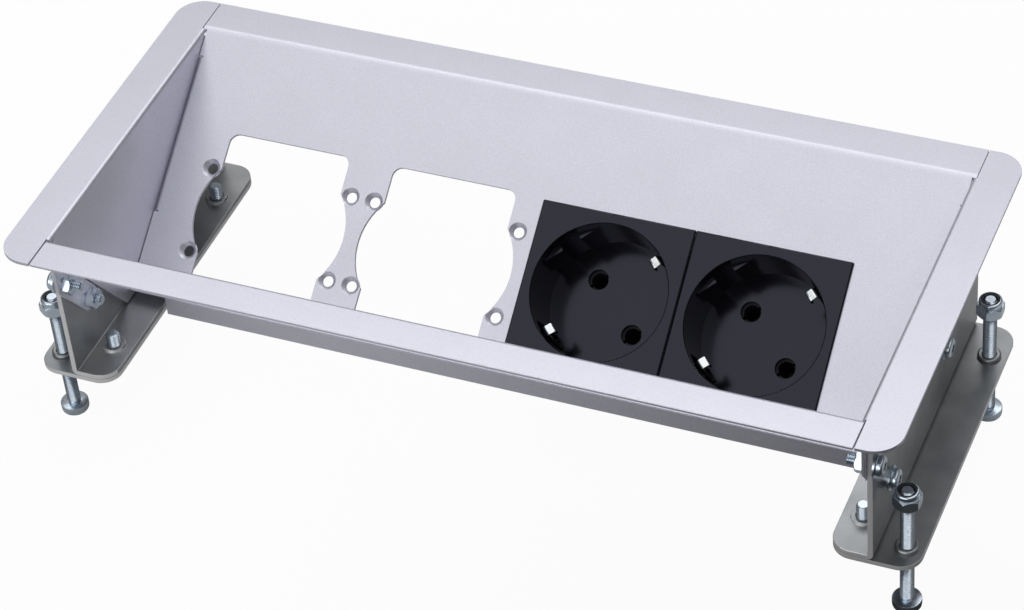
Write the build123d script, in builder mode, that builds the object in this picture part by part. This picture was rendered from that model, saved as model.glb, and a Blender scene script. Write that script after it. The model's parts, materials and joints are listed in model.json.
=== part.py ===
"""Desk socket box: a sheet metal trough that drops into a cut-out in a table top.

The flange lies on the table, the sloped faceplate carries two socket inserts and two
empty openings, and four clamp screws under the ends press up against the table.

X runs along the box, Y to the back and Z up. The origin lies under the middle of the box,
on the surface that the four screw heads stand on. Sizes are in millimetres.
"""
import os
from math import cos, radians, sin

from build123d import *

os.makedirs("parts", exist_ok=True)

# Sheet metal
sheet = 1.0
bend_radius = 1.3
soft_bend_radius = 4.0
relief_width = 0.4
relief_depth = 1.5

# Flange that lies on the table
flange_length = 253.0
flange_depth = 120.0
corner_radius = 8.0
front_strip = 10.4
rear_strip = 11.8
seam_gap = 0.3
fit_gap = 0.2

# End walls, faceplate and front rail
wall_inset = 11.0
panel_angle = 35.5
panel_drop = 48.5
wall_below_panel = 12.0
wall_corner_radius = 3.0
side_flange_start = 8.8
side_flange_end = 55.4
side_flange_depth = 11.0
rail_web_depth = 9.5
tab_width = 7.6
tab_drop = 19.0
tab_corner_radius = 4.0

# Mounting brackets and clamp plates
bracket_sheet = 1.5
foot_clearance = 2.5
bracket_gap = 0.8
bracket_front = 11.0
bracket_rear = 13.4
bracket_foot = 12.5
bracket_bend_radius = 1.8
plate_overhang = 2.2
plate_corner_radius = 6.0

# Clamp screws, size M4
screw_inset = 2.6
screw_from_front = 18.5
screw_from_rear = 25.6
screw_diameter = 3.9
screw_length = 40.0
screw_head_diameter = 8.0
screw_head_height = 3.1
screw_head_chamfer = 0.9
screw_below_plate = 17.4
thread_clearance = 0.08
recess_length = 4.4
recess_width = 1.1
recess_depth = 1.7
tip_chamfer = 0.5

# Threaded bushes, lock nuts and their insert rings
bush_diameter = 5.8
bush_collar_diameter = 6.6
bush_collar_height = 1.2
nut_across_flats = 7.0
nut_hex_height = 3.3
nut_height = 5.0
nut_crown_diameter = 6.5
ring_diameter = 5.2
ring_height = 1.4
ring_cover = 0.2
ring_clearance = 0.06

# Screws that hold the clamp plates to the brackets, size M4
plate_screw_inset = 16.2
plate_screw_from_front = 24.0
plate_screw_from_rear = 29.0
plate_screw_diameter = 3.9
plate_screw_head_diameter = 7.0
plate_screw_head_height = 2.2
plate_screw_rise = 4.8
plate_collar_diameter = 6.6
plate_collar_height = 0.9

# Bolts that join the frame to the brackets, size M3
bolt_diameter = 3.0
bolt_length = 8.0
bolt_head_diameter = 5.6
bolt_head_height = 2.0
bolt_clearance = 0.1
bolt_nut_across_flats = 5.5
bolt_nut_height = 2.4
washer_diameter = 7.0
washer_thickness = 0.5
lock_washer_diameter = 5.6
lock_washer_thickness = 1.0
front_bolt_drop = 18.3
front_bolt_spacing = 16.5
side_bolt_start = 17.0
side_bolt_spacing = 29.0
side_bolt_depth = 5.7

# Empty openings for connector carriers
opening_width = 37.5
opening_height = 47.2
opening_radius = 3.0
opening_from_edge = 31.0
opening_gap = 4.5
bulge_reach = 4.5
bulge_radius = 20.0
hole_diameter = 3.2
hole_from_opening = 3.15
hole_rows = 24.8
dimple_diameter = 5.4
dimple_angle = 90.0
dimple_depth = 0.7

# Socket inserts
insert_size = 45.0
insert_gap = 0.1
insert_from_edge = 31.3
insert_from_opening = 3.65
row_share_left = 0.325
bezel_height = 0.8
bezel_rounding = 0.4
collar_size = 43.2
collar_depth = 6.0
collar_gap = 0.3
latch_width = 10.0
latch_reach = 0.9
latch_height = 4.0
well_diameter = 39.2
well_depth = 17.5
well_draft = 2.5
cup_wall = 1.6
floor_thickness = 1.7
rim_rounding = 0.4
pin_spacing = 19.0
pin_hole_diameter = 6.0
guide_flat = 17.3
guide_groove = 5.9
guide_drop = 3.0
earth_slot_width = 8.0
earth_slot_reach = 15.0
earth_slot_drop = 2.6
earth_slot_floor = 18.0
release_width = 3.0
release_depth = 0.8

# Rear housings
housing_flange = 41.0
housing_flange_thickness = 3.0
housing_width = 38.0
housing_height = 34.0
housing_depth = 14.3
housing_rounding = 3.0
boss_offset = 17.3
boss_diameter = 5.6
housing_screw_diameter = 2.4
housing_screw_head_diameter = 4.8
housing_screw_head_height = 1.6
housing_screw_length = 14.0
terminal_spacing = 10.5
terminal_row = 11.5
terminal_bore_diameter = 6.6
terminal_bore_depth = 4.0
terminal_screw_diameter = 3.5
terminal_head_diameter = 6.0
terminal_head_height = 2.0
terminal_screw_length = 7.0
wire_entry_diameter = 3.2
wire_entry_depth = 3.4
wire_entry_height = 9.0

# Contacts
strip_thickness = 0.7
strip_width = 4.2
strip_bend_radius = 1.0
strip_clearance = 0.15
strip_reach = 19.9
hook_shoulder = 18.9
hook_nose = 15.8
hook_drop = 3.0
hook_fall = 0.5
hook_length = 3.4
sleeve_diameter = 7.0
sleeve_bore_diameter = 4.7
sleeve_length = 12.5
sleeve_slot = 0.9
sleeve_clearance = 0.1

# Places worked out from the sizes above
half_length = flange_length / 2
half_depth = flange_depth / 2
plate_bottom = screw_head_height + screw_below_plate
plate_top = plate_bottom + bracket_sheet
bracket_drop = panel_drop + foot_clearance
top_z = plate_top + bracket_drop
flange_under = top_z - sheet
rear_bend = half_depth - rear_strip
rail_back = front_strip - half_depth
wall_outside = half_length - wall_inset
wall_inside = wall_outside - sheet
panel_half_width = wall_inside - fit_gap
side_flange_outside = wall_inside
bracket_outside = wall_outside + bracket_sheet
bracket_front_y = bracket_front - half_depth
bracket_back_y = half_depth - bracket_rear
bracket_length = bracket_back_y - bracket_front_y
bracket_top = flange_under - bracket_gap
screw_x = half_length - screw_inset
screw_rows = (screw_from_front - half_depth, half_depth - screw_from_rear)
plate_screw_x = half_length - plate_screw_inset
plate_screw_rows = (plate_screw_from_front - half_depth, half_depth - plate_screw_from_rear)
slope = radians(panel_angle)
panel_length = panel_drop / sin(slope)
opening_row = panel_length - opening_from_edge
insert_row = panel_length - insert_from_edge
panel_plane = Plane(
    origin=(0, rear_bend, top_z), x_dir=(1, 0, 0), z_dir=(0, -sin(slope), cos(slope))
)
tab_front = rail_back - sheet
tab_end = (rear_bend - tab_front) * cos(slope) + tab_drop * sin(slope)
tab_start = tab_end - tab_width
tab_middle = tab_end - tab_width / 2
front_bolt_height = (tab_middle * sin(slope) - front_bolt_drop) / cos(slope)
sides = (-1, 1)

# The row of bays: two openings with bulged sides, then the pair of inserts
opening_span = opening_width + 2 * bulge_reach
hole_columns = opening_width + 2 * hole_from_opening
openings_width = 2 * opening_span + opening_gap
row_width = openings_width + insert_from_opening + 2 * insert_size
row_start = row_share_left * (2 * panel_half_width - row_width) - panel_half_width
opening_centres = [
    (row_start + opening_span / 2 + index * (opening_span + opening_gap), -opening_row)
    for index in range(2)
]
insert_pair_x = row_start + openings_width + insert_from_opening + insert_size


def panel_point(down, depth=0.0):
    """Y and Z of a point so far down the slope and so deep below the faceplate."""
    y = rear_bend - down * cos(slope) + depth * sin(slope)
    z = top_z - down * sin(slope) - depth * cos(slope)
    return (y, z)


def insert_plane(position):
    """Plane on the faceplate, centred on the socket insert on one side of the pair."""
    x = insert_pair_x + position * insert_size / 2
    centre = panel_plane.from_local_coords((x, -insert_row, 0))
    return Plane(origin=centre, x_dir=panel_plane.x_dir, z_dir=panel_plane.z_dir)


def diagonal_plane(base):
    """The same plane, turned so that the two plug pins lie along its X axis."""
    return Plane(origin=base.origin, x_dir=base.x_dir - base.y_dir, z_dir=base.z_dir)


# Each bolt is a place down the slope and a depth below the faceplate
front_bolts = [
    (tab_middle, -front_bolt_height),
    (tab_middle, front_bolt_spacing - front_bolt_height),
]
side_bolts = [
    (side_bolt_start, side_bolt_depth),
    (side_bolt_start + side_bolt_spacing, side_bolt_depth),
]
front_bolt_points = [panel_point(*bolt) for bolt in front_bolts]
side_bolt_points = [panel_point(*bolt) for bolt in side_bolts]
earth_bolt_point = front_bolt_points[1]

# Faceplate: rear strip, soft bend and sloped panel with side flanges
side_flange_run = side_flange_end - side_flange_start
side_flange_plane = Plane(
    origin=panel_plane.from_local_coords((0, -side_flange_start, 0)),
    x_dir=panel_plane.x_dir,
    z_dir=-panel_plane.y_dir,
)
with BuildPart() as faceplate:
    with BuildSketch(Plane.YZ):
        with BuildLine():
            FilletPolyline(
                (half_depth, top_z),
                (rear_bend, top_z),
                panel_point(panel_length),
                radius=soft_bend_radius,
            )
            offset(amount=sheet, side=Side.LEFT)
        make_face()
    extrude(amount=wall_outside, both=True)
    for side in sides:
        with BuildSketch(Plane.XY.offset(top_z)):
            with Locations((side * wall_outside, rear_bend - seam_gap)):
                Rectangle(
                    2 * (wall_outside - panel_half_width),
                    flange_depth,
                    align=(Align.CENTER, Align.MAX),
                )
        extrude(amount=-bracket_drop, mode=Mode.SUBTRACT)
        bend_place = (side * side_flange_outside, -(side_flange_start + side_flange_end) / 2)
        with BuildSketch(panel_plane):
            with Locations(bend_place):
                Rectangle(2 * relief_depth, side_flange_run + 2 * relief_width)
        extrude(amount=-2 * sheet, mode=Mode.SUBTRACT)
        flange_line = [
            (side * (side_flange_outside - relief_depth), 0),
            (side * side_flange_outside, 0),
            (side * side_flange_outside, -side_flange_depth),
        ]
        with BuildSketch(side_flange_plane):
            with BuildLine():
                FilletPolyline(*flange_line[::side], radius=bend_radius)
                offset(amount=sheet, side=Side.RIGHT)
            make_face()
        extrude(amount=side_flange_run)
    with BuildSketch(panel_plane):
        with Locations(*opening_centres):
            RectangleRounded(opening_width, opening_height, opening_radius)
            for side in sides:
                bulge_x = side * (opening_width / 2 + bulge_reach - bulge_radius)
                with Locations((bulge_x, 0)):
                    Circle(bulge_radius)
    extrude(amount=-2 * sheet, mode=Mode.SUBTRACT)
    with BuildSketch(panel_plane):
        with Locations((insert_pair_x, -insert_row)):
            Rectangle(
                insert_size + collar_size + 2 * collar_gap,
                collar_size + 2 * collar_gap,
            )
    extrude(amount=-2 * sheet, mode=Mode.SUBTRACT)
    with BuildSketch(panel_plane.offset(-sheet)):
        with Locations(*opening_centres):
            with GridLocations(hole_columns, hole_rows, 2, 2):
                Circle(dimple_diameter / 2)
    extrude(amount=-dimple_depth, taper=dimple_angle / 2)
    with Locations(panel_plane):
        with Locations(*opening_centres):
            with GridLocations(hole_columns, hole_rows, 2, 2):
                CounterSinkHole(hole_diameter / 2, dimple_diameter / 2, counter_sink_angle=dimple_angle)
    with BuildSketch(Plane.YZ):
        with Locations(*side_bolt_points):
            Circle(bolt_diameter / 2 + bolt_clearance)
    extrude(amount=half_length, both=True, mode=Mode.SUBTRACT)

# Front rail: strip, web behind its edge and a slanted tab at each end
with BuildPart() as front_rail:
    with BuildSketch(Plane.YZ):
        with BuildLine():
            FilletPolyline(
                (-half_depth, top_z),
                (rail_back, top_z),
                (rail_back, top_z - rail_web_depth),
                radius=bend_radius,
            )
            offset(amount=sheet, side=Side.RIGHT)
        make_face()
    extrude(amount=wall_outside, both=True)
    tab_reach = front_bolt_spacing - front_bolt_height
    upper_depth = (rail_back - rear_bend + tab_start * cos(slope)) / sin(slope)
    with BuildSketch(Plane.YZ.offset(wall_inside)):
        with BuildLine():
            Polyline(
                (rail_back, top_z - bend_radius),
                (tab_front, top_z - bend_radius),
                (tab_front, top_z - tab_drop),
                panel_point(tab_end, tab_reach),
            )
            ThreePointArc(
                panel_point(tab_end, tab_reach),
                panel_point(tab_middle, tab_reach + tab_width / 2),
                panel_point(tab_start, tab_reach),
            )
            Polyline(
                panel_point(tab_start, tab_reach),
                panel_point(tab_start, upper_depth),
                (rail_back, top_z - bend_radius),
            )
        make_face()
        corner = vertices().sort_by_distance((wall_inside, tab_front, top_z - tab_drop))[0]
        fillet(corner, radius=tab_corner_radius)
    extrude(amount=sheet)
    with BuildSketch(Plane.YZ):
        with Locations(*front_bolt_points):
            Circle(bolt_diameter / 2 + bolt_clearance)
    extrude(amount=half_length, mode=Mode.SUBTRACT)
    split(bisect_by=Plane.YZ, keep=Keep.TOP)
    mirror(about=Plane.YZ)

# End plate: side flange, bend and end wall
with BuildPart() as end_plate_left:
    with BuildSketch(Plane.XZ):
        with BuildLine():
            FilletPolyline(
                (-half_length, top_z),
                (-wall_inside, top_z),
                (-wall_inside, plate_top),
                radius=bend_radius,
            )
            offset(amount=sheet, side=Side.RIGHT)
        make_face()
    extrude(amount=half_depth, both=True)
    with BuildSketch(Plane.YZ.offset(-half_length)):
        with BuildLine():
            wall_front = rail_back + fit_gap
            wall_back = rear_bend - 2 * fit_gap
            down = tab_start - 2 * fit_gap
            step_depth = (wall_front - rear_bend + down * cos(slope)) / sin(slope)
            floor_z = plate_top + bracket_bend_radius + fit_gap
            toe_depth = (top_z - floor_z - down * sin(slope)) / cos(slope)
            heel_down = (top_z - floor_z - wall_below_panel * cos(slope)) / sin(slope)
            back_down = (rear_bend - wall_back + wall_below_panel * sin(slope)) / cos(slope)
            Polyline(
                (wall_front, flange_under),
                panel_point(down, step_depth),
                panel_point(down, toe_depth),
                panel_point(heel_down, wall_below_panel),
                panel_point(back_down, wall_below_panel),
                (wall_back, flange_under),
                close=True,
            )
        wall_face = make_face()
        low_corners = wall_face.vertices().sort_by(Axis.Z)[:3]
        fillet(low_corners, radius=wall_corner_radius)
        with Locations((0, top_z)):
            Rectangle(flange_depth, 2 * sheet)
    extrude(amount=half_length, mode=Mode.INTERSECT)
    with BuildSketch(Plane.XY.offset(top_z)):
        for low, high in ((-half_depth, wall_front), (wall_back, half_depth)):
            with Locations((-wall_outside - seam_gap, (low + high) / 2)):
                Rectangle(half_length, high - low, align=(Align.MIN, Align.CENTER))
    extrude(amount=-bracket_drop, mode=Mode.SUBTRACT)
    corners = end_plate_left.edges().filter_by(Axis.Z).group_by(Axis.X)[0]
    fillet(corners, radius=corner_radius)
    with BuildSketch(Plane.YZ):
        with Locations(*side_bolt_points):
            Circle(bolt_diameter / 2 + bolt_clearance)
    extrude(amount=-half_length, mode=Mode.SUBTRACT)

with BuildPart() as end_plate_right:
    mirror(end_plate_left.part, about=Plane.YZ)

# Mounting bracket: upright wall outside the end wall, foot turned inwards
foot_inside = bracket_outside - bracket_foot
bracket_middle = (bracket_front_y + bracket_back_y) / 2
plate_screw_points = [(-plate_screw_x, row) for row in plate_screw_rows]
with BuildPart() as bracket_left:
    with BuildSketch(Plane.XZ.offset(-bracket_middle)):
        with BuildLine():
            FilletPolyline(
                (-bracket_outside, bracket_top),
                (-bracket_outside, plate_top),
                (-foot_inside, plate_top),
                radius=bracket_bend_radius,
            )
            offset(amount=bracket_sheet, side=Side.LEFT)
        make_face()
    extrude(amount=bracket_length / 2, both=True)
    foot_corners = bracket_left.edges().filter_by(Axis.Z).group_by(Axis.X)[-1]
    fillet(foot_corners, radius=plate_corner_radius)
    with BuildSketch(Plane.XY.offset(plate_top + bracket_sheet)):
        with Locations(*plate_screw_points):
            Circle(plate_collar_diameter / 2)
    extrude(amount=plate_collar_height)
    with BuildSketch(Plane.XY.offset(plate_top)):
        with Locations(*plate_screw_points):
            Circle(plate_screw_diameter / 2 + thread_clearance)
    extrude(amount=bracket_drop / 2, mode=Mode.SUBTRACT)
    with BuildSketch(Plane.YZ):
        with Locations(*front_bolt_points, *side_bolt_points):
            Circle(bolt_diameter / 2 + bolt_clearance)
    extrude(amount=-half_length, mode=Mode.SUBTRACT)

with BuildPart() as bracket_right:
    mirror(bracket_left.part, about=Plane.YZ)

# Clamp plate: flat strip under the bracket foot that reaches out past the flange
screw_points = [(-screw_x, row) for row in screw_rows]
plate_outside = half_length + plate_overhang
with BuildPart() as clamp_plate_left:
    with BuildSketch(Plane.XY.offset(plate_bottom)):
        with Locations((-(plate_outside + foot_inside) / 2, bracket_middle)):
            RectangleRounded(plate_outside - foot_inside, bracket_length, plate_corner_radius)
        with Locations(*plate_screw_points):
            Circle(plate_screw_diameter / 2 + bolt_clearance, mode=Mode.SUBTRACT)
        with Locations(*screw_points):
            Circle(bush_diameter / 2, mode=Mode.SUBTRACT)
    extrude(amount=bracket_sheet)

with BuildPart() as clamp_plate_right:
    mirror(clamp_plate_left.part, about=Plane.YZ)

# Threaded bushes pressed into the clamp plates, one for each clamp screw
all_screw_points = [(side * screw_x, row) for side in sides for row in screw_rows]
with BuildPart() as threaded_bushes:
    with BuildSketch(Plane.XY.offset(plate_bottom)):
        with Locations(*all_screw_points):
            Circle(bush_diameter / 2)
    extrude(amount=bracket_sheet)
    with BuildSketch(Plane.XY.offset(plate_top)):
        with Locations(*all_screw_points):
            Circle(bush_collar_diameter / 2)
    extrude(amount=bush_collar_height)
    collar_rims = threaded_bushes.edges().group_by(Axis.Z)[-1]
    chamfer(collar_rims, length=bush_collar_height / 3)
    with BuildSketch(Plane.XY.offset(plate_bottom)):
        with Locations(*all_screw_points):
            Circle(screw_diameter / 2 + thread_clearance)
    extrude(amount=bracket_drop / 2, mode=Mode.SUBTRACT)

# Screws that hold each clamp plate under its bracket foot
all_plate_screw_points = [(side * plate_screw_x, row) for side in sides for row in plate_screw_rows]
with BuildPart() as plate_screws:
    with BuildSketch(Plane.XY.offset(plate_bottom)):
        with Locations(*all_plate_screw_points):
            Circle(plate_screw_head_diameter / 2)
    extrude(amount=-plate_screw_head_height)
    chamfer(plate_screws.edges().group_by(Axis.Z)[0], length=plate_screw_head_height / 3)
    with BuildSketch(Plane.XY.offset(plate_bottom)):
        with Locations(*all_plate_screw_points):
            Circle(plate_screw_diameter / 2)
    extrude(amount=2 * bracket_sheet + plate_screw_rise)
    chamfer(plate_screws.edges().group_by(Axis.Z)[-1], length=tip_chamfer)


def head_plane(side, point):
    """Plane that the head of a frame bolt seats on, outside the bracket."""
    lock_washer = lock_washer_thickness if point == earth_bolt_point else 0.0
    x = side * (bracket_outside + washer_thickness + lock_washer)
    return Plane(origin=(x, *point), x_dir=(0, 1, 0), z_dir=(side, 0, 0))


def nut_plane(side, point):
    """Innermost sheet face that the nut of a frame bolt seats on."""
    x = wall_inside - sheet if point in side_bolt_points else wall_inside
    return Plane(origin=(side * x, *point), x_dir=(0, 1, 0), z_dir=(-side, 0, 0))


# Frame bolts, their washers and their nuts
frame_bolt_points = front_bolt_points + side_bolt_points
with BuildPart() as frame_bolts:
    for side in sides:
        outward = Axis((0, 0, 0), (side, 0, 0))
        for point in frame_bolt_points:
            with BuildSketch(head_plane(side, point)):
                Circle(bolt_head_diameter / 2)
            extrude(amount=bolt_head_height)
            head_rim = edges(Select.LAST).filter_by(GeomType.CIRCLE).sort_by(outward)[-1]
            chamfer(head_rim, length=bolt_head_height / 3)
            with BuildSketch(head_plane(side, point)):
                Circle(bolt_diameter / 2)
            extrude(amount=-bolt_length)

with BuildPart() as frame_washers:
    for side in sides:
        for point in frame_bolt_points:
            with BuildSketch(head_plane(side, point)):
                Circle(washer_diameter / 2)
                Circle(bolt_diameter / 2 + bolt_clearance, mode=Mode.SUBTRACT)
            extrude(amount=-washer_thickness)

with BuildPart() as earth_lock_washers:
    for side in sides:
        with BuildSketch(head_plane(side, earth_bolt_point).offset(-washer_thickness)):
            Circle(lock_washer_diameter / 2)
            Circle(bolt_diameter / 2 + bolt_clearance, mode=Mode.SUBTRACT)
        extrude(amount=-lock_washer_thickness)

with BuildPart() as frame_nuts:
    for side in sides:
        for point in frame_bolt_points:
            with BuildSketch(nut_plane(side, point)):
                RegularPolygon(bolt_nut_across_flats / 2, 6, major_radius=False)
                Circle(bolt_diameter / 2 + thread_clearance, mode=Mode.SUBTRACT)
            extrude(amount=bolt_nut_height)

# Socket insert: bezel, locating collar and round well with guides and earth slots
cup_bottom = well_depth + floor_thickness
cup_radius = well_diameter / 2 + cup_wall
boss_points = [(side * boss_offset, side * boss_offset) for side in sides]


def socket_face(base):
    """Moulded front of one socket, on the plane of its middle."""
    turned = diagonal_plane(base)
    rim_plane = base.offset(bezel_height)
    with BuildPart() as face:
        with BuildSketch(base):
            RectangleRounded(insert_size - insert_gap, insert_size - insert_gap, bezel_rounding)
        extrude(amount=bezel_height)
        outward = Axis(base.origin, base.z_dir)
        chamfer(face.faces().sort_by(outward)[-1].edges(), length=bezel_rounding)
        with BuildSketch(base):
            Rectangle(collar_size, collar_size)
        extrude(amount=-collar_depth)
        with BuildSketch(base):
            Circle(cup_radius)
            with Locations(*boss_points):
                Circle(boss_diameter / 2)
        extrude(amount=-cup_bottom)
        for side in sides:
            latch_plane = Plane(origin=base.origin, x_dir=base.z_dir, z_dir=base.x_dir)
            with BuildSketch(latch_plane):
                with BuildLine():
                    Polyline(
                        (-sheet - fit_gap, side * -collar_size / 2),
                        (-sheet - fit_gap, side * -(collar_size / 2 + latch_reach)),
                        (-sheet - fit_gap - latch_height, side * -collar_size / 2),
                        close=True,
                    )
                make_face()
            extrude(amount=latch_width / 2, both=True)
        with BuildSketch(rim_plane):
            Circle(well_diameter / 2)
        extrude(amount=-well_depth - bezel_height, taper=well_draft, mode=Mode.SUBTRACT)
        rim = face.edges().filter_by(GeomType.CIRCLE).sort_by(outward)[-1]
        fillet(rim, radius=rim_rounding)
        with BuildSketch(turned.offset(-well_depth)):
            Circle(cup_radius - cup_wall / 2)
            Rectangle(2 * guide_flat, 2 * cup_radius, mode=Mode.SUBTRACT)
            Rectangle(2 * cup_radius, guide_groove, mode=Mode.SUBTRACT)
        extrude(amount=well_depth - guide_drop)
        slot_end = well_diameter / 2 + cup_wall / 2
        slot_cuts = (
            (earth_slot_reach, earth_slot_width, well_depth),
            (earth_slot_floor, strip_width + 2 * strip_clearance, cup_bottom),
        )
        for slot_start, slot_width, slot_bottom in slot_cuts:
            with BuildSketch(turned.offset(-earth_slot_drop)):
                for end in sides:
                    with Locations((0, end * (slot_start + slot_end) / 2)):
                        Rectangle(slot_width, slot_end - slot_start)
            extrude(amount=earth_slot_drop - slot_bottom, mode=Mode.SUBTRACT)
        with BuildSketch(turned):
            with GridLocations(pin_spacing, pin_spacing, 2, 1):
                Circle(pin_hole_diameter / 2)
        extrude(amount=-cup_bottom, mode=Mode.SUBTRACT)
        with BuildSketch(base.offset(-cup_bottom)):
            with Locations(*boss_points):
                Circle(housing_screw_diameter / 2 + bolt_clearance)
        extrude(amount=housing_screw_length, mode=Mode.SUBTRACT)
        with BuildSketch(rim_plane):
            with Locations((0, insert_size / 2)):
                Rectangle(release_width, 2 * release_depth)
        extrude(amount=-bezel_height / 2, mode=Mode.SUBTRACT)
    return face


def rear_housing(base):
    """Closed housing behind one socket, screwed to the bosses of its face."""
    front = base.offset(-cup_bottom)
    turned = diagonal_plane(front)
    rear = front.offset(-housing_flange_thickness - housing_depth)
    with BuildPart() as housing:
        with BuildSketch(front):
            RectangleRounded(housing_flange, housing_flange, housing_rounding)
        extrude(amount=-housing_flange_thickness)
        with BuildSketch(front.offset(-housing_flange_thickness)):
            RectangleRounded(housing_width, housing_height, housing_rounding)
            with Locations(*boss_points):
                Circle(boss_diameter / 2 + fit_gap, mode=Mode.SUBTRACT)
        extrude(amount=-housing_depth)
        with BuildSketch(front):
            with Locations(*boss_points):
                Circle(housing_screw_diameter / 2 + bolt_clearance)
        extrude(amount=-housing_flange_thickness, mode=Mode.SUBTRACT)
        with BuildSketch(turned):
            Rectangle(strip_width + 2 * strip_clearance, 2 * (strip_reach + strip_clearance))
        extrude(amount=-strip_thickness - strip_clearance, mode=Mode.SUBTRACT)
        with BuildSketch(turned):
            with GridLocations(pin_spacing, pin_spacing, 2, 1):
                Circle(sleeve_diameter / 2 + sleeve_clearance)
        extrude(amount=-sleeve_length, mode=Mode.SUBTRACT)
        with BuildSketch(rear):
            with Locations((0, terminal_row)):
                with GridLocations(terminal_spacing, terminal_spacing, 3, 1):
                    Circle(terminal_bore_diameter / 2)
        extrude(amount=terminal_bore_depth, mode=Mode.SUBTRACT)
        with BuildSketch(rear.offset(terminal_bore_depth)):
            with Locations((0, terminal_row)):
                with GridLocations(terminal_spacing, terminal_spacing, 3, 1):
                    Circle(terminal_screw_diameter / 2 + thread_clearance)
        extrude(amount=terminal_screw_length + thread_clearance, mode=Mode.SUBTRACT)
        entry_origin = rear.from_local_coords((0, housing_height / 2, wire_entry_height))
        with BuildSketch(Plane(origin=entry_origin, x_dir=base.x_dir, z_dir=base.y_dir)):
            with GridLocations(terminal_spacing, terminal_spacing, 3, 1):
                Circle(wire_entry_diameter / 2)
        extrude(amount=-wire_entry_depth, mode=Mode.SUBTRACT)
    return housing


def earth_clip(base):
    """Spring strip under the cup floor, with a hooked finger up each earth slot."""
    turned = diagonal_plane(base)
    side_plane = Plane(origin=base.origin, x_dir=turned.y_dir, z_dir=turned.x_dir)
    with BuildPart() as clip:
        with BuildSketch(side_plane):
            with BuildLine():
                FilletPolyline(
                    (0, -cup_bottom - strip_thickness),
                    (strip_reach, -cup_bottom - strip_thickness),
                    (hook_shoulder, -hook_drop),
                    (hook_nose, -hook_drop - hook_fall),
                    (hook_nose + strip_clearance, -hook_drop - hook_length),
                    radius=strip_bend_radius,
                )
                offset(amount=strip_thickness, side=Side.RIGHT)
            make_face()
        extrude(amount=strip_width / 2, both=True)
        mirror(about=Plane(origin=base.origin, z_dir=turned.y_dir))
    return clip


def pin_contacts(base):
    """Two split sleeves that grip the plug's pins."""
    turned = diagonal_plane(base.offset(-cup_bottom))
    with BuildPart() as contacts:
        with BuildSketch(turned):
            with GridLocations(pin_spacing, pin_spacing, 2, 1):
                Circle(sleeve_diameter / 2)
                Circle(sleeve_bore_diameter / 2, mode=Mode.SUBTRACT)
        extrude(amount=-sleeve_length)
        with BuildSketch(turned):
            with GridLocations(pin_spacing, pin_spacing, 2, 1):
                Rectangle(sleeve_slot, sleeve_diameter)
        extrude(amount=-sleeve_length * 2 / 3, mode=Mode.SUBTRACT)
    return contacts


insert_planes = [insert_plane(position) for position in sides]
socket_face_left, socket_face_right = [socket_face(base) for base in insert_planes]
housing_left, housing_right = [rear_housing(base) for base in insert_planes]
earth_clip_left, earth_clip_right = [earth_clip(base) for base in insert_planes]
contacts_left, contacts_right = [pin_contacts(base) for base in insert_planes]

# Screws of the socket inserts: one row of terminals and two fixings for each
with BuildPart() as terminal_screws:
    for base in insert_planes:
        seat = base.offset(terminal_bore_depth - cup_bottom - housing_flange_thickness - housing_depth)
        with BuildSketch(seat):
            with Locations((0, terminal_row)):
                with GridLocations(terminal_spacing, terminal_spacing, 3, 1):
                    Circle(terminal_head_diameter / 2)
        extrude(amount=-terminal_head_height)
        with BuildSketch(seat):
            with Locations((0, terminal_row)):
                with GridLocations(terminal_spacing, terminal_spacing, 3, 1):
                    Circle(terminal_screw_diameter / 2)
        extrude(amount=terminal_screw_length)

with BuildPart() as housing_screws:
    for base in insert_planes:
        seat = base.offset(-cup_bottom - housing_flange_thickness)
        with BuildSketch(seat):
            with Locations(*boss_points):
                Circle(housing_screw_head_diameter / 2)
        extrude(amount=-housing_screw_head_height)
        with BuildSketch(seat):
            with Locations(*boss_points):
                Circle(housing_screw_diameter / 2)
        extrude(amount=housing_screw_length)


def clamp_screw(point):
    """Long pan head screw, head down, with a cross recess under the head."""
    under_head = Plane.XY.offset(screw_head_height)
    with BuildPart() as screw:
        with BuildSketch(under_head):
            with Locations(point):
                Circle(screw_head_diameter / 2)
        extrude(amount=-screw_head_height)
        chamfer(screw.edges().group_by(Axis.Z)[0], length=screw_head_chamfer)
        with BuildSketch(under_head):
            with Locations(point):
                Circle(screw_diameter / 2)
        extrude(amount=screw_length)
        chamfer(screw.edges().group_by(Axis.Z)[-1], length=tip_chamfer)
        with BuildSketch(Plane.XY):
            with Locations(point):
                Rectangle(recess_length, recess_width)
                Rectangle(recess_width, recess_length)
        extrude(amount=recess_depth, mode=Mode.SUBTRACT)
    return screw


def lock_nut(point):
    """Hexagon nut with a round crown that holds the insert ring."""
    screw_tip = screw_head_height + screw_length
    nut_bottom = Plane.XY.offset(screw_tip - nut_height)
    with BuildPart() as nut:
        with BuildSketch(nut_bottom):
            with Locations(point):
                RegularPolygon(nut_across_flats / 2, 6, major_radius=False)
        extrude(amount=nut_hex_height)
        with BuildSketch(nut_bottom.offset(nut_hex_height)):
            with Locations(point):
                Circle(nut_crown_diameter / 2)
        extrude(amount=nut_height - nut_hex_height)
        chamfer(nut.edges().group_by(Axis.Z)[-1], length=tip_chamfer)
        with BuildSketch(nut_bottom):
            with Locations(point):
                Circle(screw_diameter / 2 + ring_clearance)
        extrude(amount=nut_height, mode=Mode.SUBTRACT)
        with BuildSketch(Plane.XY.offset(screw_tip)):
            with Locations(point):
                Circle(ring_diameter / 2 + ring_clearance)
        extrude(amount=-ring_cover - ring_height - ring_clearance, mode=Mode.SUBTRACT)
    return nut


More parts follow.
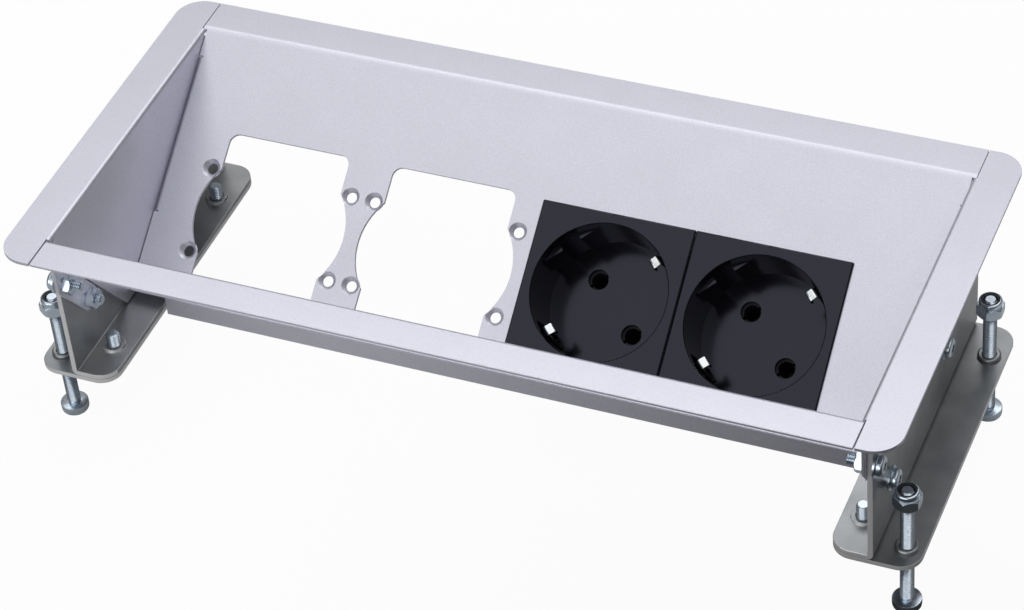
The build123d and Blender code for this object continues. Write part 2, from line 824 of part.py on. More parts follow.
def insert_ring(point):
    """Plastic ring in the crown of the lock nut that keeps it from working loose."""
    with BuildPart() as ring:
        with BuildSketch(Plane.XY.offset(screw_head_height + screw_length - ring_cover)):
            with Locations(point):
                Circle(ring_diameter / 2)
                Circle(screw_diameter / 2 + ring_clearance, mode=Mode.SUBTRACT)
        extrude(amount=-ring_height)
    return ring


pieces = {
    "faceplate": faceplate,
    "front_rail": front_rail,
    "end_plate_left": end_plate_left,
    "end_plate_right": end_plate_right,
    "bracket_left": bracket_left,
    "bracket_right": bracket_right,
    "clamp_plate_left": clamp_plate_left,
    "clamp_plate_right": clamp_plate_right,
    "threaded_bushes": threaded_bushes,
    "plate_screws": plate_screws,
    "frame_bolts": frame_bolts,
    "frame_washers": frame_washers,
    "earth_lock_washers": earth_lock_washers,
    "frame_nuts": frame_nuts,
    "socket_face_left": socket_face_left,
    "socket_face_right": socket_face_right,
    "housing_left": housing_left,
    "housing_right": housing_right,
    "earth_clip_left": earth_clip_left,
    "earth_clip_right": earth_clip_right,
    "pin_contacts_left": contacts_left,
    "pin_contacts_right": contacts_right,
    "terminal_screws": terminal_screws,
    "housing_screws": housing_screws,
}
corner_names = ("front_left", "rear_left", "front_right", "rear_right")
for corner, point in zip(corner_names, all_screw_points):
    pieces[f"clamp_screw_{corner}"] = clamp_screw(point)
    pieces[f"lock_nut_{corner}"] = lock_nut(point)
    pieces[f"insert_ring_{corner}"] = insert_ring(point)

for name, piece in pieces.items():
    piece.part.label = name
    export_step(piece.part, f"parts/{name}.step")
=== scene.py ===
# %% [markdown]
# # Desk socket box
# A sheet metal trough that drops into a cut-out in a table top. The measured model already holds
# every sheet, screw and socket at its real size, so this lesson gives the pieces their finish:
# softened edges, cut threads, moulded and painted surfaces, plain studio light and a camera.
# Lengths in the calls below are in millimetres, and mm turns them into metres.

# %% Load the measured model
import json
from math import cos, pi, radians, sin, sqrt

import bpy
from mathutils import Matrix, Vector


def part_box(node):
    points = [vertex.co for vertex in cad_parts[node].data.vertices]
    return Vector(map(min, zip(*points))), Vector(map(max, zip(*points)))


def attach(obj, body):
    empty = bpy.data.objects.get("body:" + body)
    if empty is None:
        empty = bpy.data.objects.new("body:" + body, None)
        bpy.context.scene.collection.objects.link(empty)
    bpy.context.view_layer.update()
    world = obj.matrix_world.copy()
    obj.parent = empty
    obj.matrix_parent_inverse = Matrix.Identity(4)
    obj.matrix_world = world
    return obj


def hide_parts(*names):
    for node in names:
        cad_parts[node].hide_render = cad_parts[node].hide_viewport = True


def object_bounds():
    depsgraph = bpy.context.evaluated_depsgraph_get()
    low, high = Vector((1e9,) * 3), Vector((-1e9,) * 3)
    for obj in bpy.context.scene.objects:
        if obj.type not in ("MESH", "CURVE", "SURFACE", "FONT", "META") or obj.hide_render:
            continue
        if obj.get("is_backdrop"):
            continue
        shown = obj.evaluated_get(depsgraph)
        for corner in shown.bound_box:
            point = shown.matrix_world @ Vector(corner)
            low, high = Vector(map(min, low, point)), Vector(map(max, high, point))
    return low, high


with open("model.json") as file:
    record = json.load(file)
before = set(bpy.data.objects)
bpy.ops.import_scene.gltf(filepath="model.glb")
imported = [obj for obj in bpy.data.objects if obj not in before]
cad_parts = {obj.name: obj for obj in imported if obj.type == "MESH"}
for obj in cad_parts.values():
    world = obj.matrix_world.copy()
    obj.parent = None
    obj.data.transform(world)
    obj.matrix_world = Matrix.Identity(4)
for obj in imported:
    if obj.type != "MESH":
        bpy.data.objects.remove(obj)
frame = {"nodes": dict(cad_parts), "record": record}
nodes = frame["nodes"]
body_of_node = {node: body for body, members in frame["record"]["behaviour"]["bodies"].items()
                for node in members}
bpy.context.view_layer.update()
mm = 0.001

# %% [markdown]
# ## Tools for modelling
# The pieces are shaped the way they would be by hand: a primitive is added, its vertices are moved
# in edit mode, and modifiers are applied. These helpers keep those steps short.

# %% Modelling helpers
def only(piece):
    """Makes one piece the active object, with nothing else selected."""
    bpy.ops.object.select_all(action="DESELECT")
    piece.select_set(True)
    bpy.context.view_layer.objects.active = piece


def settle(piece):
    """Leaves a piece at the origin and unturned, with its place in its mesh."""
    only(piece)
    bpy.ops.object.transform_apply(location=True, rotation=True, scale=True)
    return piece


def apply_modifier(piece, kind, **settings):
    """Adds a modifier, sets it and applies it."""
    only(piece)
    modifier = piece.modifiers.new(kind.lower(), kind)
    for name, setting in settings.items():
        setattr(modifier, name, setting)
    bpy.ops.object.modifier_apply(modifier=modifier.name)


def smooth(piece, angle=32):
    """Shades a piece smooth across edges flatter than the angle in degrees."""
    only(piece)
    bpy.ops.object.shade_smooth_by_angle(angle=radians(angle))
    return piece


def joined(pieces, name):
    """Joins pieces into one mesh."""
    only(pieces[0])
    for piece in pieces[1:]:
        piece.select_set(True)
    bpy.ops.object.join()
    whole = bpy.context.object
    whole.name = name
    return settle(whole)


def placed_copy(piece, matrix):
    """Copy of a piece with a mesh of its own, moved by a matrix."""
    copy = bpy.data.objects.new(piece.name, piece.data.copy())
    bpy.context.scene.collection.objects.link(copy)
    copy.matrix_world = matrix
    return settle(copy)


def cut(piece, cutters, operation="DIFFERENCE"):
    """Applies a boolean with each cutter and deletes the cutters."""
    for cutter in cutters:
        apply_modifier(piece, "BOOLEAN", object=cutter, operation=operation, solver="EXACT")
        bpy.data.objects.remove(cutter)
    return piece


def cylinder(radius, low, high, sides):
    """Upright cylinder between two heights."""
    bpy.ops.mesh.primitive_cylinder_add(
        vertices=sides, radius=radius * mm, depth=(high - low) * mm,
        location=(0, 0, (low + high) / 2 * mm))
    return settle(bpy.context.object)


def bevel_rim(piece, height, width, segments):
    """Rounds or chamfers the edges that lie at one height."""
    only(piece)
    rim = [all(abs(piece.data.vertices[v].co.z - height * mm) < 1e-6 for v in edge.vertices)
           for edge in piece.data.edges]
    bpy.ops.object.mode_set(mode="EDIT")
    bpy.ops.mesh.select_mode(type="EDGE")
    bpy.ops.mesh.select_all(action="DESELECT")
    bpy.ops.object.mode_set(mode="OBJECT")
    for edge, on_rim in zip(piece.data.edges, rim):
        edge.select = on_rim
    bpy.ops.object.mode_set(mode="EDIT")
    bpy.ops.mesh.bevel(offset=width * mm, segments=segments, affect="EDGES")
    bpy.ops.object.mode_set(mode="OBJECT")
    return piece


def finish_piece(piece, body, slot, material, *replaced):
    """Gives a new piece its finish, its body and the nodes that it stands for."""
    piece.data.materials.clear()
    piece.data.materials.append(material)
    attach(piece, body)
    if replaced:
        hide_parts(*replaced)

# %% [markdown]
# ## Camera
# The product shot was taken from the front right with a long lens, about 42 degrees above the
# table. A long lens keeps the two ends of the box nearly the same size.

# %% Camera
camera_place = Vector((302.8, -630.2, 665.5))
camera_turn = (47.93, 4.27, 22.0)
camera_data = bpy.data.cameras.new("camera")
camera = bpy.data.objects.new("camera", camera_data)
bpy.context.scene.collection.objects.link(camera)
camera_data.lens = 119.7
camera_data.sensor_width = 36
camera_data.clip_start = 0.01
camera_data.clip_end = 20
camera.location = camera_place * mm
camera.rotation_euler = [radians(angle) for angle in camera_turn]
bpy.context.scene.camera = camera
print("camera", round(camera.location.length, 3), "m away")

# %% [markdown]
# ## Floor and light
# The sweep shows as white to the camera and as grey to everything else, so that sheets which face
# forwards or down stay dark, as they do on a shooting table with dark surroundings. Under the front
# of the box the grey carries a painted shadow that deepens to the right, and the low lip of the
# panel takes its falling tone from reflecting it.
# One wide lamp above, two behind at different heights and a low one in front stand in for the
# softboxes of a product studio, at a level where paint renders about as it is written.

# %% Shader maths as Python expressions
def feed(tree, socket, value):
    """Links a wrapped value to a socket, or sets a constant on the socket itself."""
    if isinstance(value, Value):
        tree.links.new(value.socket, socket)
    else:
        socket.default_value = value


class Value:
    """Wraps a shader socket or a number, so that masks are written as plain arithmetic."""

    def __init__(self, tree, socket):
        self.tree = tree
        self.socket = socket

    def _maths(self, operation, *values):
        return self.node("ShaderNodeMath", {"operation": operation}, dict(enumerate(values)))

    def node(self, kind, settings, inputs, output=0):
        """Adds one node: its settings first, then the values or links of its sockets."""
        made = self.tree.nodes.new(kind)
        for name, setting in settings.items():
            setattr(made, name, setting)
        for key, value in inputs.items():
            feed(self.tree, made.inputs[key], value)
        return Value(self.tree, made.outputs[output])

    def __add__(self, other):
        return self._maths("ADD", self, other)

    def __sub__(self, other):
        return self._maths("SUBTRACT", self, other)

    def __rsub__(self, other):
        return self._maths("SUBTRACT", other, self)

    def __mul__(self, other):
        return self._maths("MULTIPLY", self, other)

    __radd__ = __add__


class Finish:
    """One material: its Principled shader and the tree that feeds it."""

    def __init__(self, name):
        self.material = bpy.data.materials.new(name)
        self.material.use_nodes = True
        self.tree = self.material.node_tree
        self.shader = self.tree.nodes["Principled BSDF"]
        self.start = Value(self.tree, None)

    def place(self):
        """Object coordinates, in metres."""
        return self.start.node("ShaderNodeTexCoord", {}, {}, "Object")

    def noise(self, size, detail=2.0, roughness=0.5):
        """Noise with lumps of about the given size, from 0 to 1."""
        inputs = {"Vector": self.place(), "Scale": 1 / (size * mm), "Detail": detail,
                  "Roughness": roughness}
        return self.start.node("ShaderNodeTexNoise", {}, inputs, "Fac")

    def mask(self, name):
        """A mask that is stored on the faces of a piece, and 0 where a piece has none."""
        return self.start.node("ShaderNodeAttribute", {"attribute_name": name}, {}, "Fac")

    def mix(self, factor, first, second):
        """Two colours, mixed by a mask."""
        made = self.tree.nodes.new("ShaderNodeMix")
        made.data_type = "RGBA"
        for number, value in ((0, factor), (6, first), (7, second)):
            feed(self.tree, made.inputs[number], value)
        return Value(self.tree, made.outputs[2])

    def ramp(self, value, low, high):
        """A mask that rises from 0 at low to 1 at high."""
        inputs = {"Value": value, "From Min": low, "From Max": high}
        return self.start.node("ShaderNodeMapRange", {}, inputs)

    def bump(self, height, distance):
        """A normal from a height mask that rises by the given distance."""
        inputs = {"Height": height, "Distance": distance * mm, "Strength": 1.0}
        return self.start.node("ShaderNodeBump", {}, inputs, "Normal")

    def set(self, **sockets):
        """Feeds sockets of the shader, with spaces written as underscores."""
        for key, value in sockets.items():
            feed(self.tree, self.shader.inputs[key.replace("_", " ")], value)


# %% Floor, backdrop and lamps
floor_grey, front_painted_shadow, right_painted_shadow = 0.6, 0.1, 0.44
glow_strength, glow_share = 1.02, 0.94
world_strength = 0.16


def white_sweep():
    """Floor that is white to the camera, grey to everything else with a painted shadow in front of
    the box, and keeps a faint shadow.
    """
    bpy.ops.mesh.primitive_plane_add(size=8, location=(0, 0, -0.2 * mm))
    floor = bpy.context.object
    floor.name = "floor"
    material = bpy.data.materials.new("white_floor")
    material.use_nodes = True
    tree = material.node_tree
    tree.nodes.clear()
    start = Value(tree, None)
    paths = tree.nodes.new("ShaderNodeLightPath")
    seen = Value(tree, paths.outputs["Is Camera Ray"])
    spot = start.node("ShaderNodeTexCoord", {}, {}, "Object")
    across = start.node("ShaderNodeSeparateXYZ", {}, {"Vector": spot}, "X")
    along = start.node("ShaderNodeSeparateXYZ", {}, {"Vector": spot}, "Y")
    front = start.node("ShaderNodeMapRange", {},
                       {"Value": along, "From Min": 0, "From Max": -40 * mm})
    right = start.node("ShaderNodeMapRange", {},
                       {"Value": across, "From Min": -60 * mm, "From Max": 100 * mm})
    # Painted shadow of the box and its sockets on the grey: darker in front, and darker still to
    # the right.
    shade = floor_grey - front * (right * right_painted_shadow + front_painted_shadow)
    grey = start.node("ShaderNodeCombineColor", {}, {"Red": shade, "Green": shade, "Blue": shade})
    paper = start.node("ShaderNodeBsdfDiffuse", {}, {"Color": grey})
    glow = start.node("ShaderNodeEmission", {}, {"Color": (1, 1, 1, 1), "Strength": glow_strength})
    mixed = start.node("ShaderNodeMixShader", {}, {0: seen * glow_share, 1: paper, 2: glow})
    output = tree.nodes.new("ShaderNodeOutputMaterial")
    tree.links.new(mixed.socket, output.inputs["Surface"])
    floor.data.materials.append(material)
    floor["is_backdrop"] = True


def white_world(strength):
    """World that is white behind the object and lights it at the given strength."""
    world = bpy.data.worlds.new("studio")
    bpy.context.scene.world = world
    world.use_nodes = True
    tree = world.node_tree
    tree.nodes.clear()
    start = Value(tree, None)
    paths = tree.nodes.new("ShaderNodeLightPath")
    seen = Value(tree, paths.outputs["Is Camera Ray"])
    level = seen * (1 - strength) + strength
    light = start.node("ShaderNodeBackground", {}, {"Color": (1, 1, 1, 1), "Strength": level})
    output = tree.nodes.new("ShaderNodeOutputWorld")
    tree.links.new(light.socket, output.inputs["Surface"])


def softbox(name, place, size, power, aim):
    """Rectangular lamp that faces a point, with place, size and aim in metres."""
    lamp_data = bpy.data.lights.new(name, "AREA")
    lamp_data.shape = "RECTANGLE"
    lamp_data.size, lamp_data.size_y = size
    lamp_data.energy = power
    lamp = bpy.data.objects.new(name, lamp_data)
    bpy.context.scene.collection.objects.link(lamp)
    lamp.location = place
    lamp.rotation_euler = (Vector(aim) - lamp.location).to_track_quat("-Z", "Y").to_euler()


white_sweep()
white_world(world_strength)
box_middle = (0, 0, 0.05)
softbox("overhead_lamp", (0.0, -0.2, 1.3), (2.4, 1.8), 13.5, aim=(0, -0.2, 0))
softbox("rear_lamp", (-0.2, 1.0, 1.34), (1.6, 0.6), 5.4, box_middle)
softbox("low_rear_lamp", (-0.5, 1.5, 0.95), (2.4, 0.6), 1.0, box_middle)
softbox("front_lamp", (-0.3, -1.3, 0.5), (1.6, 0.8), 8.0, box_middle)
bpy.context.scene.view_settings.view_transform = "Standard"

# %% [markdown]
# ## Finishes
# The frame is powder coated in silver: tiny metal flakes under a satin skin with a fine orange
# peel. The brackets are plated sheet, darker, with brighter cut edges that are partly bare metal
# and partly a painted highlight. Screws and nuts are bright zinc with a bluish cast. The socket
# fronts are glossy black moulded plastic, and the housings behind them a duller one.

# %% Silver powder coat
def powder_coat(name, colour, flake_colour, grain=0.22, peel=0.9):
    """Powder coat with light and dark metal flakes and a soft orange peel."""
    finish = Finish(name)
    flakes = finish.noise(grain, detail=3.0, roughness=0.7)
    cloud = finish.noise(14.0, detail=2.0)
    peel_height = finish.noise(peel, detail=2.0, roughness=0.6)
    sparkle = finish.ramp(flakes, 0.36, 0.66)
    mottled = finish.mix(sparkle, colour, flake_colour)
    shaded = finish.mix(finish.ramp(cloud, 0.3, 0.8) * 0.06, mottled, (0.3, 0.3, 0.34, 1))
    finish.set(Base_Color=shaded, Metallic=0.8, Roughness=0.33 + flakes * 0.12)
    finish.set(Normal=finish.bump(peel_height * 0.6 + flakes * 0.4, 0.009))
    return finish.material


# %% Plated sheet of the brackets
def plated_sheet(name, colour, dark, bare_edge_lit_colour):
    """Dull plated steel with a faint cloudy sheen, fine grain and brighter cut edges, partly bare
    metal and partly a painted highlight.
    """
    finish = Finish(name)
    cloud = finish.noise(9.0, detail=3.0)
    grain = finish.noise(0.35, detail=2.0, roughness=0.6)
    bare_edge_highlight = finish.mask("bare_edge_highlight")
    mottled = finish.mix(finish.ramp(cloud, 0.3, 0.75), dark, colour)
    # The cut edges get a lighter, less metallic colour: partly bare metal, partly a painted
    # highlight.
    finish.set(Base_Color=finish.mix(bare_edge_highlight, mottled, bare_edge_lit_colour), Metallic=0.93 - bare_edge_highlight * 0.4,
               Roughness=0.32 + grain * 0.1)
    finish.set(Normal=finish.bump(grain, 0.012))
    return finish.material


# %% Zinc plate of the screws and nuts
def zinc_plate(name, colour):
    """Bright bluish zinc plate, a little uneven, with a near-black painted shade where it stands
    deep in the well.
    """
    finish = Finish(name)
    cloud = finish.noise(1.6, detail=2.0)
    clean = finish.mix(cloud, colour, (colour[0] * 0.82, colour[1] * 0.88, colour[2] * 0.95, 1))
    # Faces carrying the well mask get a near-black painted shade for the dark well around them.
    well_shaded = finish.mix(finish.mask("painted_well_shade"), clean, (0.012, 0.012, 0.013, 1))
    finish.set(Base_Color=well_shaded, Metallic=1.0, Roughness=0.18 + cloud * 0.14)
    finish.set(Normal=finish.bump(finish.noise(0.4), 0.006))
    return finish.material


# %% Moulded plastics
def moulded_plastic(name, colour, roughness, grain, grain_height):
    """Moulded plastic with an even fine grain from the mould."""
    finish = Finish(name)
    texture = finish.noise(grain, detail=2.0)
    cloud = finish.noise(6.0)
    lighter = tuple(channel * 1.25 for channel in colour[:3]) + (1,)
    finish.set(Base_Color=finish.mix(cloud, colour, lighter), Roughness=roughness + texture * 0.06)
    finish.set(Normal=finish.bump(texture, grain_height), Specular_Tint=(0.76, 0.78, 0.98, 1))
    return finish.material


frame_paint = powder_coat("frame_paint", (0.57, 0.57, 0.65, 1), (0.74, 0.74, 0.83, 1))
bracket_steel = plated_sheet("bracket_steel", (0.37, 0.38, 0.39, 1), (0.29, 0.3, 0.31, 1),
                             (0.72, 0.72, 0.73, 1))
zinc_steel = zinc_plate("zinc_steel", (0.66, 0.72, 0.78, 1))
spring_steel = zinc_plate("spring_steel", (0.86, 0.86, 0.84, 1))
# The pin contacts are made near black: a painted shade for the depth of the wells they sit in.
contact_painted_dark = moulded_plastic("contact_painted_dark", (0.008, 0.008, 0.008, 1), 0.55, 0.3, 0.004)
socket_plastic = moulded_plastic("socket_plastic", (0.0012, 0.0012, 0.0024, 1), 0.13, 0.25, 0.002)
housing_plastic = moulded_plastic("housing_plastic", (0.022, 0.022, 0.024, 1), 0.5, 0.3, 0.012)
ring_plastic = moulded_plastic("ring_plastic", (0.02, 0.02, 0.022, 1), 0.4, 0.2, 0.004)
print("finishes:", [m.name for m in bpy.data.materials])

# %% Give every node its finish
names_by_finish = {
    frame_paint: ("faceplate", "front_rail", "end_plate_left", "end_plate_right"),
    bracket_steel: ("bracket_left", "bracket_right", "clamp_plate_left", "clamp_plate_right",
                    "threaded_bushes"),
    socket_plastic: ("socket_face_left", "socket_face_right"),
    housing_plastic: ("housing_left", "housing_right"),
    spring_steel: ("earth_clip_left", "earth_clip_right"),
    contact_painted_dark: ("pin_contacts_left", "pin_contacts_right"),
}
finish_of = {name: material for material, names in names_by_finish.items() for name in names}
for name, node in nodes.items():
    plain = ring_plastic if name.startswith("insert_ring") else zinc_steel
    node.data.materials.clear()
    node.data.materials.append(finish_of.get(name, plain))
print("nodes with a finish:", len(nodes))

# %% [markdown]
# ## Sheet metal and plastic
# Real sheets and mouldings have edges rounded by a fraction of a millimetre, and those edges catch
# the light. Each measured piece is copied, its triangles are merged back into flat faces, and every
# sharp edge gets a narrow bevel. Two forms are finished on the way: the sloped panel ends in a lip
# that is turned straight down between the feet, and the earth clips get a narrower strip.

# %% Shapes of sheets and mouldings
panel_slope = radians(35.5)
up_slope = Vector((0, cos(panel_slope), sin(panel_slope)))
out_of_panel = Vector((0, -sin(panel_slope), cos(panel_slope)))
lip_y, lip_z = -16.78, 26.84
lip_sheet, lip_bottom, lip_half_width, lip_overlap = 1.0, 20.5, 103.4, 0.4
strip_share, strip_end = 0.68, 1.0


def flatten(piece):
    """Merges double points and makes flat faces whole."""
    only(piece)
    bpy.ops.object.mode_set(mode="EDIT")
    bpy.ops.mesh.select_all(action="SELECT")
    bpy.ops.mesh.remove_doubles(threshold=1e-6)
    bpy.ops.mesh.dissolve_limited(angle_limit=radians(0.5))
    bpy.ops.mesh.normals_make_consistent(inside=False)
    bpy.ops.object.mode_set(mode="OBJECT")
    return piece


def merged_copy(node_name):
    """Copy of a measured piece with its double points merged and its flat faces made whole."""
    piece = bpy.data.objects.new("soft_" + node_name, nodes[node_name].data.copy())
    bpy.context.scene.collection.objects.link(piece)
    return flatten(piece)


def turn_down_lip(piece):
    """Ends the sloped panel early and turns its lower edge down, between the two feet."""
    only(piece)
    bpy.ops.object.mode_set(mode="EDIT")
    bpy.ops.mesh.select_all(action="SELECT")
    bpy.ops.mesh.bisect(plane_co=(0, lip_y * mm, lip_z * mm), plane_no=-up_slope,
                        use_fill=True, clear_outer=True)
    bpy.ops.object.mode_set(mode="OBJECT")
    top = lip_z - lip_overlap
    bpy.ops.mesh.primitive_cube_add(
        size=1, location=(0, (lip_y + lip_sheet / 2) * mm, (top + lip_bottom) / 2 * mm),
        scale=(2 * lip_half_width * mm, lip_sheet * mm, (top - lip_bottom) * mm))
    flatten(cut(piece, [settle(bpy.context.object)], "UNION"))


def mark_faces(piece, name, chosen):
    """Stores a mask on the faces that a test picks."""
    mask = piece.data.attributes.new(name, "FLOAT", "FACE")
    mask.data.foreach_set("value", [float(chosen(face)) for face in piece.data.polygons])


def narrow_strip(piece):
    """Narrows a clip's strip across the line between its two heads."""
    xs = [vertex.co.x for vertex in piece.data.vertices]
    low_x, high_x = min(xs), max(xs)
    centre = Vector((low_x + high_x, 0, 0)) / 2
    centre.y = sum(vertex.co.y for vertex in piece.data.vertices) / len(xs)
    centre.z = sum(vertex.co.z for vertex in piece.data.vertices) / len(xs)
    ends = [vertex.co for vertex in piece.data.vertices if vertex.co.x > high_x - strip_end * mm]
    rises = sum((end - centre).dot(up_slope) for end in ends) > 0
    across = (Vector((1, 0, 0)) - up_slope if rises else Vector((1, 0, 0)) + up_slope).normalized()
    axes = Matrix((across, out_of_panel.cross(across), out_of_panel)).transposed()
    only(piece)
    bpy.ops.object.mode_set(mode="EDIT")
    bpy.ops.mesh.select_all(action="SELECT")
    bpy.ops.transform.resize(value=(strip_share, 1, 1), orient_type="GLOBAL", orient_matrix=axes,
                             orient_matrix_type="GLOBAL", center_override=centre)
    bpy.ops.object.mode_set(mode="OBJECT")


# %% Soften the edges of sheets and mouldings
reshape = {"faceplate": turn_down_lip,
           "earth_clip_left": narrow_strip, "earth_clip_right": narrow_strip}
full_width_bevels = ("bracket", "clamp_plate", "front")
frame_edge, bracket_edge, socket_edge, clip_edge = 0.28, 0.2, 0.1, 0.15
clip_head_depth = 0.9


def softened(node_name, width, slot, material):
    """Puts a copy with softened edges in place of a measured piece."""
    piece = merged_copy(node_name)
    if node_name in reshape:
        reshape[node_name](piece)
    apply_modifier(piece, "BEVEL", width=width * mm, segments=2, limit_method="ANGLE",
                   angle_limit=radians(40),
                   use_clamp_overlap=not node_name.startswith(full_width_bevels))
    smooth(piece)
    apply_modifier(piece, "WEIGHTED_NORMAL", weight=100, keep_sharp=True)
    finish_piece(piece, body_of_node[node_name], slot, material, node_name)
    return piece


for node_name in ("faceplate", "front_rail", "end_plate_left", "end_plate_right"):
    softened(node_name, frame_edge, "frame_paint", frame_paint)
for node_name in ("bracket_left", "bracket_right"):
    bracket = softened(node_name, bracket_edge, "bracket_steel", bracket_steel)
    # Cut edges of the sheet are marked for their lighter colour, partly bare metal and partly a
    # painted highlight.
    mark_faces(bracket, "bare_edge_highlight", lambda face: abs(face.normal.y) > 0.35)
for node_name in ("clamp_plate_left", "clamp_plate_right"):
    plate = softened(node_name, bracket_edge, "bracket_steel", bracket_steel)
    mark_faces(plate, "bare_edge_highlight", lambda face: abs(face.normal.z) < 0.8)
softened("threaded_bushes", bracket_edge, "bracket_steel", bracket_steel)
for node_name in ("socket_face_left", "socket_face_right"):
    softened(node_name, socket_edge, "socket_plastic", socket_plastic)
for node_name in ("earth_clip_left", "earth_clip_right"):
    clip = softened(node_name, clip_edge, "spring_steel", spring_steel)
    # Faces deeper than the top of a clip's head are marked for the painted shade of the well.
    head_base = max(vertex.co.dot(out_of_panel) for vertex in clip.data.vertices)
    head_base -= clip_head_depth * mm
    mark_faces(clip, "painted_well_shade", lambda face: face.center.dot(out_of_panel) < head_base)

# %% [markdown]
# ## Screws, bolts and nuts
# Threads are a small ridge swept along a helix by the Screw modifier around a plain core. One screw
# and one nut of each size are modelled along the Z axis and then copied to every place.

# %% Rods, heads and nuts
def threaded_rod(diameter, pitch, low, high):
    """Upright rod with a helical thread, between two heights."""
    depth = 0.54 * pitch
    core_radius = diameter / 2 - depth
    core = bevel_rim(cylinder(core_radius, low, high, 28), high, depth / 2, 1)
    bpy.ops.mesh.primitive_plane_add(size=mm, location=(0, 0, low * mm))
    ridge = bpy.context.object
    bpy.ops.object.mode_set(mode="EDIT")
    bpy.ops.mesh.select_mode(type="VERT")
    bpy.ops.mesh.merge(type="CENTER")
    bpy.ops.transform.translate(value=(core_radius * mm, 0, pitch / 4 * mm))
    for outward in (depth, -depth):
        step = (outward * mm, 0, pitch * 0.46 * mm)
        bpy.ops.mesh.extrude_region_move(TRANSFORM_OT_translate={"value": step})
    bpy.ops.object.mode_set(mode="OBJECT")
    turns = int((high - low) / pitch - 0.8)
    apply_modifier(ridge, "SCREW", axis="Z", screw_offset=pitch * mm, iterations=turns, steps=20,
                   render_steps=20)
    return joined([core, settle(ridge)], "threaded_rod")


def pan_head(diameter, height, recess, top=0):
    """Round head that hangs below a height, with a cross recess in its end."""
    end = top - height
    head = cylinder(diameter / 2, end, top, 56)
    bevel_rim(head, end, height * 0.42, 5)
    bevel_rim(head, top, 0.18, 2)
    bars = []
    for turn in (0, pi / 2):
        bpy.ops.mesh.primitive_cube_add(size=1, location=(0, 0, end * mm), rotation=(0, 0, turn),
                                        scale=(recess * mm, recess / 4 * mm, recess * 0.8 * mm))
        bars.append(settle(bpy.context.object))
    return cut(head, bars)


def hex_body(across, low, high):
    """Hexagon with turned chamfers on both ends."""
    corner = across / sqrt(3)
    nut = cylinder(corner, low, high, 6)
    barrel = cylinder(corner, low, high, 72)
    for height in (low, high):
        bevel_rim(barrel, height, corner * 0.13, 1)
    return cut(nut, [barrel], "INTERSECT")


def loose_boxes(node_name):
    """Lowest and highest corner of every separate solid of a node."""
    merged_copy(node_name)
    bpy.ops.object.mode_set(mode="EDIT")
    bpy.ops.mesh.select_all(action="SELECT")
    bpy.ops.mesh.separate(type="LOOSE")
    bpy.ops.object.mode_set(mode="OBJECT")
    boxes = []
    for solid in list(bpy.context.selected_objects):
        points = [vertex.co for vertex in solid.data.vertices]
        boxes.append((Vector([min(p[i] for p in points) for i in range(3)]),
                      Vector([max(p[i] for p in points) for i in range(3)])))
        bpy.data.objects.remove(solid)
    return boxes


def places_through_walls(node_name, inset=0):
    """Matrices that lay a piece along X, from the outer end of each solid towards the middle."""
    places = []
    for low, high in loose_boxes(node_name):
        side = 1 if low.x > 0 else -1
        outer = max(abs(low.x), abs(high.x)) - inset * mm
        spot = (side * outer, (low.y + high.y) / 2, (low.z + high.z) / 2)
        places.append(Matrix.Translation(spot) @ Matrix.Rotation(-side * pi / 2, 4, "Y"))
    return places


def copies(model, matrices, name):
    """One piece made of copies of a model, which is then deleted."""
    pieces = [placed_copy(model, matrix) for matrix in matrices]
    bpy.data.objects.remove(model)
    return smooth(joined(pieces, name), 28)


# %% Clamp screws and lock nuts
head_height, head_diameter, head_recess = 3.1, 8.0, 4.4
thread_diameter, thread_pitch = 3.9, 0.7
nut_across, nut_hex_height = 7.0, 3.3
crown_radius, crown_start, crown_rounding = 3.25, 2.9, 0.6
bore_radius, ring_seat_radius, ring_seat_depth = 2.01, 2.66, 1.66
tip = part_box("clamp_screw_front_left")[1].z / mm
nut_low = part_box("lock_nut_front_left")[0].z / mm
rod = threaded_rod(thread_diameter, thread_pitch, head_height, tip)
head = pan_head(head_diameter, head_height, head_recess, top=head_height)
screw_model = joined([head, rod], "clamp_screw_model")
nut_model = hex_body(nut_across, nut_low, nut_low + nut_hex_height)
crown = cylinder(crown_radius, nut_low + crown_start, tip, 56)
cut(nut_model, [bevel_rim(crown, tip, crown_rounding, 5)], "UNION")
cut(nut_model, [cylinder(bore_radius, nut_low - 1, tip + 1, 56),
                cylinder(ring_seat_radius, tip - ring_seat_depth, tip + 1, 56)])
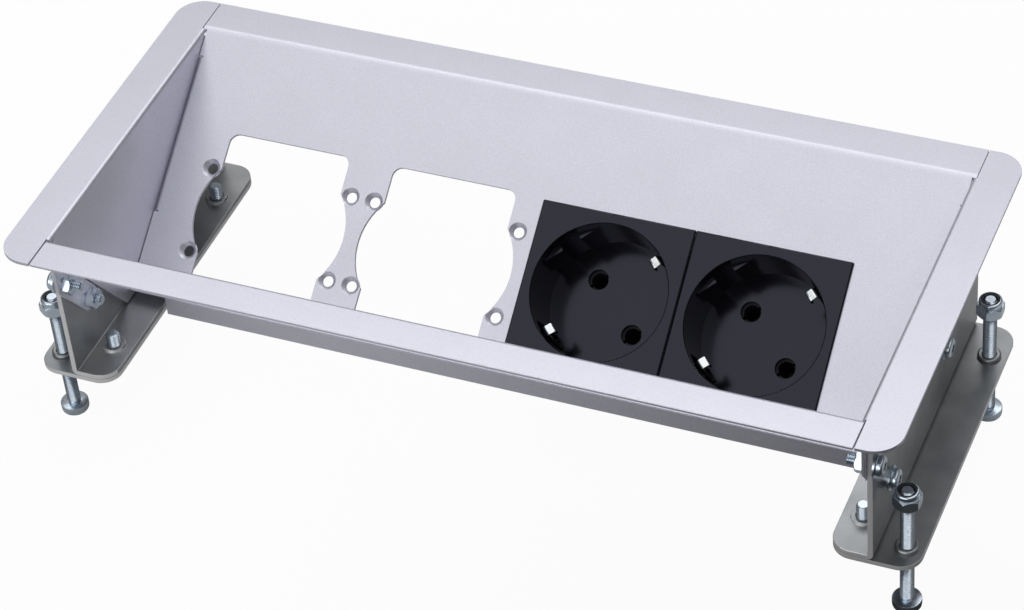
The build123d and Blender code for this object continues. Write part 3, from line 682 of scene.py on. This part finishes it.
for corner in ("front_left", "rear_left", "front_right", "rear_right"):
    low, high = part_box("clamp_screw_" + corner)
    place = Matrix.Translation(((low.x + high.x) / 2, (low.y + high.y) / 2, 0))
    body = "clamp_screw_" + corner
    screw = smooth(placed_copy(screw_model, place), 28)
    screw.name = "screw_" + corner
    finish_piece(screw, body, "zinc_steel", zinc_steel, body)
    nut = smooth(placed_copy(nut_model, place), 28)
    nut.name = "nut_" + corner
    finish_piece(nut, body, "zinc_steel", zinc_steel, "lock_nut_" + corner)
bpy.data.objects.remove(screw_model)
bpy.data.objects.remove(nut_model)
print("clamp screws reach up to", round(tip, 2), "mm, their nuts start at", round(nut_low, 2), "mm")

# %% Bolts, nuts and plate screws of the frame
bolt_diameter, bolt_pitch, bolt_length = 3.0, 0.5, 8.0
bolt_head_diameter, bolt_head_height, bolt_recess = 5.6, 2.0, 3.0
bolt_model = joined([threaded_rod(bolt_diameter, bolt_pitch, 0, bolt_length),
                     pan_head(bolt_head_diameter, bolt_head_height, bolt_recess)], "bolt_model")
places = places_through_walls("frame_bolts", bolt_head_height)
finish_piece(copies(bolt_model, places, "frame_bolt_set"), "frame", "zinc_steel", zinc_steel,
             "frame_bolts")

small_nut_across, small_nut_height = 5.5, 2.4
small_nut = cut(hex_body(small_nut_across, 0, small_nut_height),
                [cylinder(bolt_diameter / 2, -1, small_nut_height + 1, 32)])
places = places_through_walls("frame_nuts")
finish_piece(copies(small_nut, places, "frame_nut_set"), "frame", "zinc_steel", zinc_steel,
             "frame_nuts")

plate_head_diameter, plate_head_height, plate_recess = 7.0, 2.2, 3.6
plate_low, plate_high = (corner.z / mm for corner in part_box("plate_screws"))
under_plate = plate_low + plate_head_height
plate_rod = threaded_rod(thread_diameter, thread_pitch, 0, plate_high - under_plate)
plate_screw = joined([plate_rod, pan_head(plate_head_diameter, plate_head_height, plate_recess)],
                     "plate_screw_model")
places = [Matrix.Translation(((low.x + high.x) / 2, (low.y + high.y) / 2, under_plate * mm))
          for low, high in loose_boxes("plate_screws")]
finish_piece(copies(plate_screw, places, "plate_screw_set"), "frame", "zinc_steel", zinc_steel,
             "plate_screws")

# %% [markdown]
# ## Size
# The dressed box has to fill the same space as the measured one, so its extent is printed.

# %% Print the size
low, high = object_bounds()
print("visual box from", tuple(low), "to", tuple(high))
